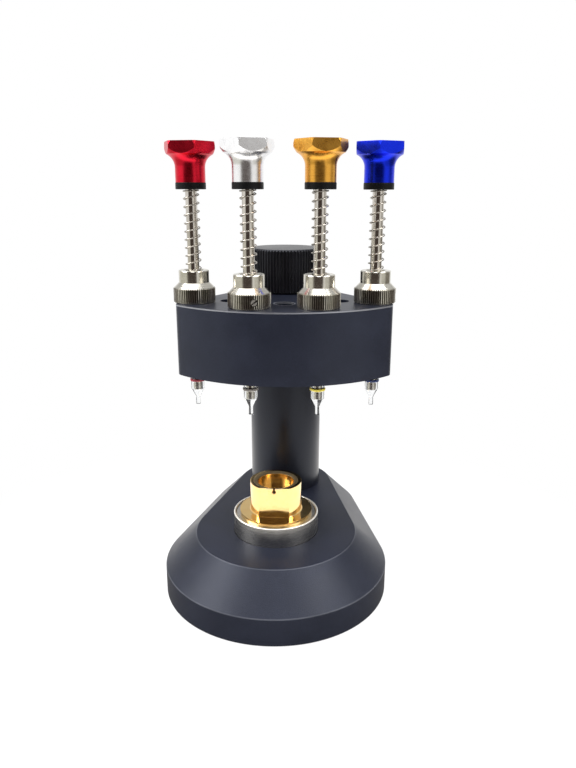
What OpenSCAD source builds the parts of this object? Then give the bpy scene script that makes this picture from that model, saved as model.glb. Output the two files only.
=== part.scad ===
// Hand press for setting watch hands, in millimetres.
// A base carries a movement holder and a column, and a head that turns about the column
// carries four sprung plungers. The origin is on the bench under the movement holder,
// +Z is up and +Y runs from the holder to the column.

/* [Base] */
// Radius of the base's front end, about the holder axis
base_front_r = 40.25; // [38:0.25:46]
// Radius of the base's rear end, about the column axis
base_rear_r = 30; // [27:0.5:32]
// Small chamfer round the foot of the base
base_edge = 0.4; // [0.2:0.05:0.8]
// Distance from the holder axis to the column axis
axis_spacing = 44; // [42:0.5:50]
// Height of the base's upright rim
rim_h = 9.7; // [7:0.1:14]
// Width of the sloping border, seen from above
border_w = 11.4; // [9:0.1:12]
// Height of the sloping border
border_h = 11.2; // [8:0.1:13]
// Thickness of the non-slip pad
pad_t = 2; // [1.2:0.1:3]
// How far the pad stands out below the base
pad_proud = 0.3; // [0.2:0.05:1]
// Distance from the pad's edge to the base's edge
pad_inset = 4; // [3:0.5:7]

/* [Movement holder] */
// Outer radius of the steel seat ring
ring_r = 15.25; // [14.8:0.05:17]
// Height of the seat ring above the base
ring_h = 7.1; // [5:0.1:9]
// Depth of the seat ring in the base
ring_sink = 2; // [1:0.1:3]
// Width of the ring's bright lip
ring_lip_w = 0.75; // [0.4:0.05:1]
// Depth of the land on which the holder rests, below the lip
ring_land_drop = 0.6; // [0.3:0.05:1]
// Radius of the bore in the seat ring
ring_bore_r = 11; // [10.5:0.05:11.4]
// Radius of the holder's flange
flange_r = 13; // [12.6:0.05:13.8]
// Thickness of the holder's flange
flange_t = 1.5; // [1.2:0.1:2.5]
// Length of the holder's spigot below the flange
holder_spigot_h = 4; // [2.5:0.1:5]
// Outer radius of the holder's cup
cup_r = 9.2; // [9:0.05:10]
// Height of the cup above the flange
cup_h = 10.8; // [8:0.1:11]
// Distance of the cup's front flat from the holder axis
cup_flat = 7.5; // [7.2:0.05:8.2]
// Depth of the milled step across the front of the flange
flange_step = 0.3; // [0.1:0.05:0.6]
// Radius of the cup's mouth at the rim
mouth_r = 8.05; // [7.8:0.05:8.5]
// Radius of the pocket that holds the movement
pocket_r = 6.5; // [5.8:0.05:6.9]
// Depth from the rim to the pocket's wall
mouth_depth = 0.4; // [0.2:0.05:0.8]
// Depth from the rim to the pocket's floor
pocket_depth = 3.9; // [2.5:0.1:6]
// Radius of the hole in the pocket's floor
relief_r = 1.8; // [1.2:0.05:3]
// Width of the stem slot at the rim
stem_slot_w = 0.5; // [0.4:0.05:0.8]
// Radius of the round end of the stem slot
stem_hole_r = 0.65; // [0.5:0.05:0.9]
// Depth from the rim to the middle of the round end
stem_depth = 1.5; // [1.4:0.05:2.2]

/* [Column] */
// Radius of the column
column_r = 14.25; // [12:0.25:15]
// Length of the column between base and head
column_h = 56; // [50:1:80]
// Radius of the spigot on which the head turns
top_spigot_r = 8; // [7:0.25:9]
// Radius of the spigot let into the base
foot_spigot_r = 6; // [5.5:0.25:7]
// Depth of that spigot
foot_spigot_h = 5; // [3:0.5:7]
// Radius of the bolt that holds the column
column_bolt_r = 4; // [3:0.5:4]

/* [Head] */
// Thickness of the head
head_t = 25; // [22:0.5:32]
// How far the head runs on in front of the plungers' axes
head_lip = 8.5; // [8:0.25:12]
// Half the angle between the head's two corner arcs
head_half_angle = 44; // [42:0.5:50]
// Radius of the head's corners
head_corner_r = 4; // [2.5:0.25:6]
// Chamfer along the head's edges
head_edge = 0.5; // [0.2:0.05:1]
// Angle to which the head is turned, seen from above
head_turn = 3.8; // [-10:0.1:10]
// Radius of the blind sockets in the head's top
socket_r = 3.5; // [2.5:0.25:4]
// Depth of those sockets
socket_depth = 8; // [4:0.5:12]
// Distance of the sockets from the column axis
socket_radius = 34; // [32:0.5:34.5]
// Angle between neighbouring sockets
socket_angle = 35; // [30:0.5:36]

/* [Clamp] */
// Radius of the clamp knob over its teeth
clamp_r = 14; // [12.5:0.25:15]
// Height of the clamp knob
clamp_h = 16.7; // [12:0.1:20]
// Number of teeth round the clamp knob
clamp_teeth = 72; // [48:1:96]
// Radius of the clamp stud
stud_r = 4; // [3:0.25:5]
// Length of the stud above the head
stud_h = 11.8; // [8:0.1:14]
// Depth of the stud in the column
stud_depth = 15; // [8:1:30]
// Outer radius of the thrust washer
washer_r = 10.5; // [10:0.25:11.5]
// Thickness of the thrust washer
washer_t = 1; // [0.6:0.1:1.5]

/* [Plungers] */
// Angle between neighbouring plungers, about the column axis
plunger_angle = 30.8; // [28:0.2:31]
// Radius of the plunger rods
rod_r = 2; // [1.6:0.05:2.2]
// How far a plunger can be pushed down
travel = 24; // [18:0.5:24]
// Gap left between collar and stop nut at the end of the travel
spare_gap = 3; // [2:0.1:6]
// Height of the rods' shoulders above the tips' ends
shoulder_to_tip = 11.2; // [9:0.1:13]
// Radius of a rod's shoulder
shoulder_r = 2.4; // [2.3:0.05:2.8]
// Height of a rod's shoulder
shoulder_h = 1.5; // [1:0.1:2.5]
// Gap between the shoulder and the head at rest
shoulder_gap = 0.1; // [0.05:0.01:0.2]
// Radius of the peg inside the tip
peg_r = 1.4; // [1.1:0.05:1.5]
// Length of the peg inside the tip
peg_h = 5.2; // [4:0.1:6]
// Outer radius of the guide bushes
bush_r = 3.25; // [2.9:0.05:3.4]
// Height of the guide bushes above the head
bush_rise = 6.2; // [5.4:0.1:7]

/* [Stop nuts] */
// Radius of a stop nut over its teeth
nut_r = 7.3; // [6.8:0.05:8]
// Height of the knurled band of a stop nut
nut_band_h = 5; // [4:0.1:6]
// Number of teeth round a stop nut
nut_teeth = 60; // [40:1:72]
// Radius of a stop nut's neck
nut_neck_r = 5.3; // [4.6:0.05:5.6]
// Height of a stop nut's neck
nut_neck_h = 4.2; // [3:0.1:6]
// Radius of the spring well in a stop nut
well_r = 3.2; // [3.1:0.05:3.6]
// Radius of the grub screws
grub_r = 1.25; // [0.8:0.05:1.4]

/* [Springs] */
// Thickness of the spring wire
wire_d = 0.45; // [0.35:0.01:0.5]
// Radius of the springs to the middle of the wire
coil_r = 2.6; // [2.5:0.02:2.7]
// Turns in each spring
coil_turns = 11; // [9:0.5:13]

/* [Push knobs] */
// Thickness of the bumper collars
collar_t = 2.2; // [1.4:0.1:3]
// Radius of the bumper collars
collar_r = 5.15; // [4.6:0.05:5.6]
// Radius of a push knob's neck
neck_r = 5.05; // [4.4:0.05:5.5]
// Height of the straight part of the neck
neck_h = 4.9; // [3.5:0.1:7]
// Radius of the hollow flare under the knob's head
flare_r = 4.5; // [3.8:0.1:6]
// Width of the knob's hexagon across its flats
across_flats = 15.5; // [14:0.1:16.2]
// Height of the hexagon above the flare
hex_h = 3.6; // [2.6:0.1:6]
// How far the hexagon's corners are cut down at its top
hex_cut = 1.25; // [0.6:0.05:1.5]
// Depth of the rod in the push knob
knob_grip = 8.5; // [6:0.5:10]

/* [Tips] */
// Radius of a tip's end
tip_end_r = 0.8; // [0.5:0.05:1.2]
// Length of the thin end of a tip
tip_end_h = 3; // [2:0.1:4]
// Length of the cone of a tip
tip_cone_h = 3.2; // [2:0.1:3.6]
// Radius of a tip's body
tip_r = 2.4; // [2.2:0.05:2.8]
// Outer radius of the marker rings
marker_r = 2.7; // [2.6:0.05:3.1]
// Height of the marker rings
marker_h = 0.9; // [0.6:0.05:1.2]
// Distance of the marker rings below the top of the tips
marker_drop = 1.4; // [1:0.1:2]

/* [Hidden] */
$fn = 96;
over = 1;              // how far a cut runs past a face
fit = 0.03;            // radial clearance of a turning or sliding fit
seat_fit = 0.02;       // radial clearance of a seated piece
well_fit = 0.1;        // clearance round a sunk or pocketed piece
air = 0.3;             // clearance where a piece passes another without touching

head_r = axis_spacing + head_lip;
base_z = pad_proud;
top_z = base_z + rim_h + border_h;
ring_top = top_z + ring_h;
land_z = ring_top - ring_land_drop;
flange_top = land_z + flange_t;
rim_z = flange_top + cup_h;
head_z = top_z + column_h;
head_top = head_z + head_t;
bush_top = head_top + bush_rise;
neck_z = head_top + nut_band_h + nut_r - nut_neck_r;
nut_top = neck_z + nut_neck_h;
collar_z = nut_top + travel + spare_gap;
knob_z = collar_z + collar_t;
hex_z = knob_z + neck_h + flare_r;
knob_top = hex_z + hex_h;
shoulder_z = head_z - shoulder_gap - shoulder_h;
tip_end_z = shoulder_z - shoulder_to_tip;

tip_top = shoulder_z;
marker_top = tip_top - marker_drop;

// Screws that hold the seat ring from below
seat_screw_r = 1.25;
seat_head_r = 2.3;
seat_head_h = 1.6;
seat_screw_grip = 5;   // how far a screw reaches into the ring
seat_drive = 1;        // depth of its hexagon socket
seat_screw_radius = (ring_bore_r + ring_r) / 2;
seat_screw_len = top_z - ring_sink + seat_screw_grip - pad_t;

// Bolt that holds the column from below
bolt_head_r = 6.5;
bolt_head_h = 5;
bolt_grip = 14;        // how far the bolt reaches into the column
bolt_drive = 3;        // radius and depth of its hexagon socket
bolt_len = top_z - foot_spigot_h + bolt_grip - pad_t;

// Details of the seat ring and the holder
ring_edge = 0.2;
flange_edge = 0.3;
foot_r = 0.45;         // fillet between the holder's flange and its cup
flat_half_w = sqrt(cup_r * cup_r - cup_flat * cup_flat);

// Details of the head and the clamp
corner_centre = head_r - head_corner_r;
corner_sides = 32;
socket_edge = 0.3;
stud_edge = 0.8;
skirt_gap = 0.15;      // gap between the clamp knob's skirt and the head
clamp_tooth = 0.45;
clamp_edge = 0.7;
washer_rim = 0.25;

// Details of the stop nuts
nut_tooth = 0.3;
nut_foot = 0.4;
nut_edge = 0.3;
well_edge = 0.35;
grub_z = head_top + nut_band_h / 2;
grub_slot = 0.3;
grub_inset = 0.25;     // how far a grub screw sits below the teeth
grub_angle = [160, -70, 70, -3];

// Details of the knobs, tips and marker rings. Each hexagon's angle is that of one corner.
hex_angle = [52, 21, 14, 27];
corner_r = across_flats / 2 / cos(30);
flare_angle = 66;      // how far the hollow flare turns outwards
under_slope = 1.36;    // rise of the cone below the hexagon for each mm outwards
cut_slope = 3.5;       // fall of the cone above it for each mm outwards
flare_end = neck_r + flare_r * (1 - cos(flare_angle));
flare_top = neck_h + flare_r * sin(flare_angle);
knob_h = neck_h + flare_r + hex_h;
knob_top_r = corner_r - hex_cut / cut_slope;
// The cones above and below the hexagon meet outside its corners.
cones_meet_r = (knob_h + cut_slope * knob_top_r - flare_top + under_slope * flare_end)
  / (under_slope + cut_slope);
cones_meet_h = flare_top + under_slope * (cones_meet_r - flare_end);
marker_groove = 0.4;
marker_round = 0.25;

// The base's two round ends, drawn in by inset. A hull joins them with straight sides.
module base_ends(h, inset) {
  cylinder(h = h, r = base_front_r - inset);
  translate([0, axis_spacing, 0]) cylinder(h = h, r = base_rear_r - inset);
}

// A hole up through the base from the pad, with a counterbore for the screw's head
module screw_hole(cap_r, cap_h, shank_r) {
  translate([0, 0, pad_t - over]) {
    cylinder(h = top_z, r = shank_r + well_fit);
    cylinder(h = over + cap_h + well_fit, r = cap_r + well_fit);
  }
}

module base() {
  color("#26282e")
  difference() {
    translate([0, 0, base_z])
      hull() {
        base_ends(base_edge, base_edge);
        translate([0, 0, base_edge]) base_ends(rim_h - base_edge, 0);
        base_ends(rim_h + border_h, border_w);
      }
    translate([0, 0, base_z - over])
      hull() base_ends(pad_t - pad_proud + over, pad_inset - well_fit);
    translate([0, 0, top_z - ring_sink]) cylinder(h = ring_sink + over, r = ring_r + seat_fit);
    seat_screw_places()
      screw_hole(seat_head_r, seat_head_h, seat_screw_r);
    translate([0, axis_spacing, 0]) {
      screw_hole(bolt_head_r, bolt_head_h, column_bolt_r);
      translate([0, 0, top_z - foot_spigot_h - well_fit])
        cylinder(h = foot_spigot_h + over, r = foot_spigot_r + seat_fit);
    }
  }
}

module base_pad() {
  color("#1b1c1e")
  hull() base_ends(pad_t, pad_inset);
}

module seat_screw_places() {
  for (i = [0 : 2])
    rotate([0, 0, 90 + 120 * i])
      translate([seat_screw_radius, 0, 0])
        children();
}

module seat_ring() {
  color("#8f8d88")
  difference() {
    rotate_extrude()
      polygon([
        [ring_bore_r, top_z - ring_sink],
        [ring_r, top_z - ring_sink],
        [ring_r, ring_top - ring_edge],
        [ring_r - ring_edge, ring_top],
        [ring_r - ring_lip_w, ring_top],
        [ring_r - ring_lip_w, land_z],
        [ring_bore_r, land_z]
      ]);
    seat_screw_places()
      translate([0, 0, top_z - ring_sink - over])
        cylinder(h = seat_screw_grip + over + well_fit, r = seat_screw_r + seat_fit);
  }
}

module seat_screws() {
  color("#6d6d70")
  seat_screw_places()
    translate([0, 0, pad_t])
      difference() {
        union() {
          cylinder(h = seat_head_h, r = seat_head_r);
          cylinder(h = seat_screw_len, r = seat_screw_r);
        }
        translate([0, 0, -over]) cylinder(h = over + seat_drive, r = seat_screw_r, $fn = 6);
      }
}

module movement_holder() {
  color("#d4a02f")
  difference() {
    rotate_extrude()
      polygon(concat(
        [
          [0, land_z - holder_spigot_h],
          [ring_bore_r - fit - flange_edge, land_z - holder_spigot_h],
          [ring_bore_r - fit, land_z - holder_spigot_h + flange_edge],
          [ring_bore_r - fit, land_z],
          [flange_r, land_z],
          [flange_r, flange_top - flange_edge],
          [flange_r - flange_edge, flange_top]
        ],
        [for (a = [0 : 15 : 90]) [cup_r + foot_r - foot_r * sin(a), flange_top + foot_r - foot_r * cos(a)]],
        [
          [cup_r, rim_z - flange_edge],
          [cup_r - flange_edge, rim_z],
          [mouth_r, rim_z],
          [pocket_r, rim_z - mouth_depth],
          [pocket_r, rim_z - pocket_depth],
          [0, rim_z - pocket_depth]
        ]
      ));
    translate([-flange_r, -flange_r - over, flange_top])
      cube([2 * flange_r, flange_r + over - cup_flat, cup_h + over]);
    translate([-flat_half_w, -flange_r - over, flange_top - flange_step])
      cube([2 * flat_half_w, flange_r + over - cup_flat, flange_step + over]);
    translate([0, 0, land_z - holder_spigot_h - over])
      cylinder(h = cup_h + flange_t + holder_spigot_h, r = relief_r);
    translate([0, 0, rim_z - stem_depth]) {
      rotate([90, 0, 0]) cylinder(h = cup_r + over, r = stem_hole_r);
      translate([-stem_slot_w / 2, -cup_r - over, 0]) cube([stem_slot_w, cup_r + over, stem_depth + over]);
    }
  }
}

module column() {
  color("#26282e")
  translate([0, axis_spacing, 0])
    difference() {
      union() {
        translate([0, 0, top_z - foot_spigot_h]) cylinder(h = foot_spigot_h + over, r = foot_spigot_r);
        translate([0, 0, top_z]) cylinder(h = column_h, r = column_r);
        translate([0, 0, head_z - over]) cylinder(h = head_t - air + over, r = top_spigot_r);
      }
      translate([0, 0, top_z - foot_spigot_h - over])
        cylinder(h = bolt_grip + over + well_fit, r = column_bolt_r + seat_fit);
      translate([0, 0, head_top - air - stud_depth - well_fit])
        cylinder(h = stud_depth + well_fit + over, r = stud_r + seat_fit);
    }
}

module column_bolt() {
  color("#6d6d70")
  translate([0, axis_spacing, pad_t])
    difference() {
      union() {
        cylinder(h = bolt_head_h, r = bolt_head_r);
        cylinder(h = bolt_len, r = column_bolt_r);
      }
      translate([0, 0, -over]) cylinder(h = over + bolt_drive, r = bolt_drive, $fn = 6);
    }
}

module clamp_stud() {
  color("#9a9a9c")
  translate([0, axis_spacing, head_top - air - stud_depth]) {
    cylinder(h = stud_depth + air + stud_h - stud_edge, r = stud_r);
    translate([0, 0, stud_depth + air + stud_h - stud_edge])
      cylinder(h = stud_edge, r1 = stud_r, r2 = stud_r - stud_edge);
  }
}

module thrust_washer() {
  color("#b9b9bb")
  translate([0, axis_spacing, head_top])
    difference() {
      cylinder(h = washer_t, r = washer_r);
      translate([0, 0, -over]) cylinder(h = washer_t + 2 * over, r = stud_r + air);
    }
}

// Star-shaped outline of a straight knurl with upright teeth
module knurl(r, depth, teeth) {
  polygon([
    for (i = [0 : 2 * teeth - 1])
      let (rr = (i % 2 == 0) ? r : r - depth, a = 180 * i / teeth)
      [rr * cos(a), rr * sin(a)]
  ]);
}

module clamp_knob() {
  color("#1d1e22")
  translate([0, axis_spacing, head_top])
    difference() {
      intersection() {
        linear_extrude(clamp_h) knurl(clamp_r, clamp_tooth, clamp_teeth);
        rotate_extrude()
          polygon([
            [0, skirt_gap],
            [clamp_r - clamp_edge, skirt_gap],
            [clamp_r + over, skirt_gap + clamp_edge + over],
            [clamp_r + over, clamp_h - clamp_edge - over],
            [clamp_r - clamp_edge, clamp_h],
            [0, clamp_h]
          ]);
      }
      cylinder(h = washer_t, r = washer_r + washer_rim);
      cylinder(h = stud_h + air, r = stud_r + fit);
    }
}

// Angle of each plunger about the column axis, seen from above
function plunger_turn(i) = -90 + head_turn + (i - 2.5) * plunger_angle;

module at_column() {
  translate([0, axis_spacing, 0]) children();
}

module at_plunger(i) {
  at_column()
    rotate([0, 0, plunger_turn(i)])
      translate([axis_spacing, 0, 0])
        children();
}

// The round stretches of the head's outline, drawn in by inset: the hub, two corners and the
// front arc. A hull joins them with straight flanks.
module head_parts(h, inset) {
  reach = corner_centre + head_r;
  cylinder(h = h, r = column_r - inset);
  for (side = [-1, 1])
    rotate([0, 0, side * head_half_angle])
      translate([corner_centre, 0, 0])
        cylinder(h = h, r = head_corner_r - inset, $fn = corner_sides);
  intersection() {
    cylinder(h = h, r = head_r - inset);
    linear_extrude(h)
      polygon([
        [0, 0],
        reach * [cos(head_half_angle), -sin(head_half_angle)],
        reach * [cos(head_half_angle), sin(head_half_angle)]
      ]);
  }
}

module head_sockets() {
  for (k = [-1 : 1])
    rotate([0, 0, k * socket_angle])
      translate([socket_radius, 0, -socket_depth]) {
        cylinder(h = socket_depth + over, r = socket_r);
        translate([0, 0, socket_depth - socket_edge])
          cylinder(h = 2 * socket_edge, r1 = socket_r, r2 = socket_r + 2 * socket_edge);
      }
}

module head() {
  color("#26282e")
  difference() {
    translate([0, axis_spacing, head_z])
      rotate([0, 0, -90 + head_turn])
        hull() {
          head_parts(head_t, head_edge);
          translate([0, 0, head_edge]) head_parts(head_t - 2 * head_edge, 0);
        }
    translate([0, axis_spacing, head_top]) rotate([0, 0, -90 + head_turn]) head_sockets();
    translate([0, axis_spacing, head_z - over]) cylinder(h = head_t + 2 * over, r = top_spigot_r + fit);
    for (i = [1 : 4])
      at_plunger(i)
        translate([0, 0, head_z - over])
          cylinder(h = head_t + 2 * over, r = bush_r + seat_fit);
  }
}

module guide_bush(i) {
  color("#b58b3e")
  at_plunger(i)
    translate([0, 0, head_z])
      difference() {
        cylinder(h = head_t + bush_rise, r = bush_r);
        translate([0, 0, -over]) cylinder(h = head_t + bush_rise + 2 * over, r = rod_r + fit);
      }
}

module stop_nut(i) {
  color("#b9b6ac")
  at_plunger(i)
    rotate([0, 0, grub_angle[i - 1] - plunger_turn(i)])
      difference() {
        translate([0, 0, head_top])
          intersection() {
            linear_extrude(nut_top - head_top) knurl(nut_r, nut_tooth, nut_teeth);
            rotate_extrude()
              polygon([
                [0, 0],
                [nut_r - nut_foot, 0],
                [nut_r + over, nut_foot + over],
                [nut_r + over, nut_band_h - over],
                [nut_neck_r, nut_band_h + nut_r - nut_neck_r],
                [nut_neck_r, nut_top - head_top - nut_edge],
                [nut_neck_r - nut_edge, nut_top - head_top],
                [0, nut_top - head_top]
              ]);
          }
        translate([0, 0, head_top - over]) cylinder(h = bush_rise + 2 * over, r = bush_r + seat_fit);
        translate([0, 0, bush_top]) cylinder(h = nut_top - bush_top + over, r = well_r);
        translate([0, 0, nut_top - well_edge])
          cylinder(h = 2 * well_edge, r1 = well_r, r2 = well_r + 2 * well_edge);
        translate([0, 0, grub_z]) rotate([0, 90, 0]) cylinder(h = nut_r + over, r = grub_r + seat_fit);
      }
}

module nut_grub_screws() {
  color("#77756f")
  for (i = [1 : 4])
    at_plunger(i)
      rotate([0, 0, grub_angle[i - 1] - plunger_turn(i)])
        translate([bush_r + seat_fit, 0, grub_z])
          rotate([0, 90, 0])
            difference() {
              cylinder(h = nut_r - bush_r - seat_fit - grub_inset, r = grub_r);
              translate([-grub_slot, -grub_r - over, nut_r - bush_r - seat_fit - grub_inset - grub_slot])
                cube([2 * grub_slot, 2 * grub_r + 2 * over, grub_slot + over]);
            }
}

// A return spring is one tube swept along a helix. Its wire stands upright on the bush, leans
// into the coil, and stands upright again under the collar.
spring_z = bush_top;
spring_h = collar_z - bush_top;
ring_sides = 6;
rings_per_turn = 8;
coil_rise = spring_h - 4 * wire_d;
coil_rings = coil_turns * rings_per_turn;
coil_slope = atan(coil_rise / (coil_turns * 360 * PI / 180 * coil_r));

function coil_point(k) =
  let (a = 360 * k / rings_per_turn)
  [coil_r * cos(a), coil_r * sin(a), 2 * wire_d + coil_rise * k / coil_rings];

function coil_heading(k) =
  let (a = 360 * k / rings_per_turn)
  [-sin(a) * cos(coil_slope), cos(a) * cos(coil_slope), sin(coil_slope)];

// Places and headings of all the rings, from the foot to the head of the spring
spring_rings = concat(
  [
    [[coil_r, 0, 0], [0, 0, 1]],
    [[coil_r, 0, wire_d], [0, 0, 1]]
  ],
  [for (k = [0 : coil_rings]) [coil_point(k), coil_heading(k)]],
  [
    let (p = coil_point(coil_rings)) [[p[0], p[1], spring_h - wire_d], [0, 0, 1]],
    let (p = coil_point(coil_rings)) [[p[0], p[1], spring_h], [0, 0, 1]]
  ]
);

// Corner j of a ring: one side of each ring points away from the spring's axis
function ring_corner(ring, j) =
  let (
    p = ring[0],
    heading = ring[1],
    out = [p[0], p[1], 0] / norm([p[0], p[1]]),
    side = cross(heading, out),
    a = 360 * j / ring_sides
  )
  p + wire_d / 2 * (cos(a) * out + sin(a) * side);

ring_count = len(spring_rings);
spring_points = [for (ring = spring_rings) for (j = [0 : ring_sides - 1]) ring_corner(ring, j)];
spring_faces = concat(
  [for (j = [1 : ring_sides - 2]) [0, j, j + 1]],
  [
    for (i = [0 : ring_count - 2])
      for (j = [0 : ring_sides - 1])
        for (half = [0, 1])
          let (
            a = i * ring_sides + j,
            b = i * ring_sides + (j + 1) % ring_sides
          )
          half == 0 ? [a, a + ring_sides, b] : [b, a + ring_sides, b + ring_sides]
  ],
  [
    for (j = [1 : ring_sides - 2])
      let (first = (ring_count - 1) * ring_sides)
      [first, first + j + 1, first + j]
  ]
);

// Least gap between two stretches of the wire that are half a turn or more apart
coil_gap = min([
  for (i = [2 : ring_count - 3])
    for (k = [i + rings_per_turn / 2 : ring_count - 3])
      norm(spring_rings[i][0] - spring_rings[k][0])
]) - wire_d;
echo(least_gap_between_spring_turns = coil_gap);

module spring(i) {
  color("#a8a49a")
  at_plunger(i)
    translate([0, 0, spring_z])
      polyhedron(points = spring_points, faces = spring_faces, convexity = 10);
}

module plunger_rod(i) {
  color("#a39d92")
  at_plunger(i) {
    translate([0, 0, shoulder_z - peg_h]) cylinder(h = peg_h + over / 2, r = peg_r);
    translate([0, 0, shoulder_z]) cylinder(h = shoulder_h, r = shoulder_r);
    translate([0, 0, shoulder_z]) cylinder(h = knob_z + knob_grip - shoulder_z, r = rod_r);
  }
}

module bumper_collar(i) {
  color("#17181a")
  at_plunger(i)
    translate([0, 0, collar_z])
      difference() {
        cylinder(h = collar_t, r = collar_r);
        translate([0, 0, -over]) cylinder(h = collar_t + 2 * over, r = rod_r + seat_fit);
      }
}

module push_knob(i, paint) {
  color(paint)
  at_plunger(i)
    rotate([0, 0, hex_angle[i - 1] - plunger_turn(i)])
      translate([0, 0, knob_z])
        difference() {
          intersection() {
            cylinder(h = knob_h, r = corner_r, $fn = 6);
            rotate_extrude()
              polygon(concat(
                [[0, 0], [neck_r, 0]],
                [
                  for (a = [0 : flare_angle / 8 : flare_angle])
                    [neck_r + flare_r * (1 - cos(a)), neck_h + flare_r * sin(a)]
                ],
                [
                  [cones_meet_r, cones_meet_h],
                  [knob_top_r, knob_h],
                  [0, knob_h]
                ]
              ));
          }
          translate([0, 0, -over]) cylinder(h = knob_grip + over, r = rod_r + seat_fit);
        }
}

module tip(i) {
  color([0.86, 0.9, 0.93, 0.55])
  at_plunger(i)
    difference() {
      rotate_extrude()
        polygon([
          [0, tip_end_z],
          [tip_end_r, tip_end_z],
          [tip_end_r, tip_end_z + tip_end_h],
          [tip_r, tip_end_z + tip_end_h + tip_cone_h],
          [tip_r, marker_top - marker_h - seat_fit],
          [tip_r - marker_groove, marker_top - marker_h - seat_fit],
          [tip_r - marker_groove, marker_top + seat_fit],
          [tip_r, marker_top + seat_fit],
          [tip_r, tip_top],
          [0, tip_top]
        ]);
      translate([0, 0, tip_top - peg_h - well_fit])
        cylinder(h = peg_h + well_fit + over, r = peg_r + seat_fit);
    }
}

module marker_ring(i, paint) {
  inner = tip_r - marker_groove + seat_fit;
  color(paint)
  at_plunger(i)
    rotate_extrude()
      polygon([
        [inner, marker_top - marker_h],
        [marker_r - marker_round, marker_top - marker_h],
        [marker_r, marker_top - marker_h + marker_round],
        [marker_r, marker_top - marker_round],
        [marker_r - marker_round, marker_top],
        [inner, marker_top]
      ]);
}

base();
base_pad();
seat_ring();
seat_screws();
movement_holder();
column();
column_bolt();
clamp_stud();
thrust_washer();
clamp_knob();
head();
nut_grub_screws();
for (i = [1 : 4]) {
  guide_bush(i);
  stop_nut(i);
  spring(i);
  plunger_rod(i);
  bumper_collar(i);
  tip(i);
}
push_knob(1, "#c3121f");  // push_knob_red
push_knob(2, "#d8d8da");  // push_knob_silver
push_knob(3, "#d08a1e");  // push_knob_gold
push_knob(4, "#1226d0");  // push_knob_blue
marker_ring(1, "#b3202a");  // marker_ring_1
marker_ring(2, "#8d8f92");  // marker_ring_2
marker_ring(3, "#d9c53a");  // marker_ring_3
marker_ring(4, "#2334a8");  // marker_ring_4
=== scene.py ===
import math

import bmesh
import bpy
from mathutils import Matrix, Vector


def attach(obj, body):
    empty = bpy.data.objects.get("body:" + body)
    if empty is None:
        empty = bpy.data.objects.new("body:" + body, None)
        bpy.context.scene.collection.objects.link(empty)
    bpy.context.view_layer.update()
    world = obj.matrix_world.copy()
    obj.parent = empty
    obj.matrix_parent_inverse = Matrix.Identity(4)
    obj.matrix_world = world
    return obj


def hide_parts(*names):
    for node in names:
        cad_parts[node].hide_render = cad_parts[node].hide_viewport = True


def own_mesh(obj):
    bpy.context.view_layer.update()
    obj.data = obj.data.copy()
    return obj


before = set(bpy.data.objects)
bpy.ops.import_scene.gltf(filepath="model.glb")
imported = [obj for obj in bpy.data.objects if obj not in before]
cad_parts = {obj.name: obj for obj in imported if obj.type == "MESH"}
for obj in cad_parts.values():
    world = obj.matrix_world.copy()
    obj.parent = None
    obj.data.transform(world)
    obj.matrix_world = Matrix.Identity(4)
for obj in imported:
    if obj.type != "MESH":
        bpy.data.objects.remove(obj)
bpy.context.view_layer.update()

# The press stands on a white table and is seen from just above the head, a little to the right
# of its front, from close by. The place, turn and lens of the camera were worked out from the
# circles and upright edges of the press.

MM = 0.001
camera_place = Vector((20.94, -221.96, 139.47)) * MM
camera_heading = math.radians(4.287)
camera_drop = math.radians(15.93)
camera_roll = math.radians(0.107)
focal_pixels = 671.4
picture_height = 768

camera_data = bpy.data.cameras.new("camera")
camera_data.sensor_width = 36
camera_data.lens = focal_pixels / picture_height * camera_data.sensor_width
camera_data.clip_start = 0.01
camera_data.clip_end = 20
camera = bpy.data.objects.new("camera", camera_data)
bpy.context.scene.collection.objects.link(camera)
bpy.context.scene.camera = camera
camera.matrix_world = (
    Matrix.Translation(camera_place)
    @ Matrix.Rotation(camera_heading, 4, "Z")
    @ Matrix.Rotation(math.pi / 2 - camera_drop, 4, "X")
    @ Matrix.Rotation(camera_roll, 4, "Z")
)
bpy.context.scene.view_settings.view_transform = "Standard"


# The table and the light. A white floor runs out of sight, and the white of the room is seen
# behind the press and in its bright metal, with a darker stretch in front, where one stands.

class Signal:
    """One value in a shader, on which sums are written as plain expressions."""

    def __init__(self, shader, socket):
        self.shader = shader
        self.socket = socket

    def worked(self, operation, other, swapped=False):
        pair = {0: other, 1: self} if swapped else {0: self, 1: other}
        return self.shader.node("ShaderNodeMath", {"operation": operation}, pair)

    def __add__(self, other):
        return self.worked("ADD", other)

    def __sub__(self, other):
        return self.worked("SUBTRACT", other)

    def __rsub__(self, other):
        return self.worked("SUBTRACT", other, swapped=True)

    def __mul__(self, other):
        return self.worked("MULTIPLY", other)

    def __truediv__(self, other):
        return self.worked("DIVIDE", other)

    def __pow__(self, other):
        return self.worked("POWER", other)

    def ramped(self, low, high):
        """0 below low, 1 above high and a smooth rise between them."""
        smooth = {"interpolation_type": "SMOOTHSTEP"}
        span = {"Value": self, "From Min": low, "From Max": high}
        return self.shader.node("ShaderNodeMapRange", smooth, span)


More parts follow.
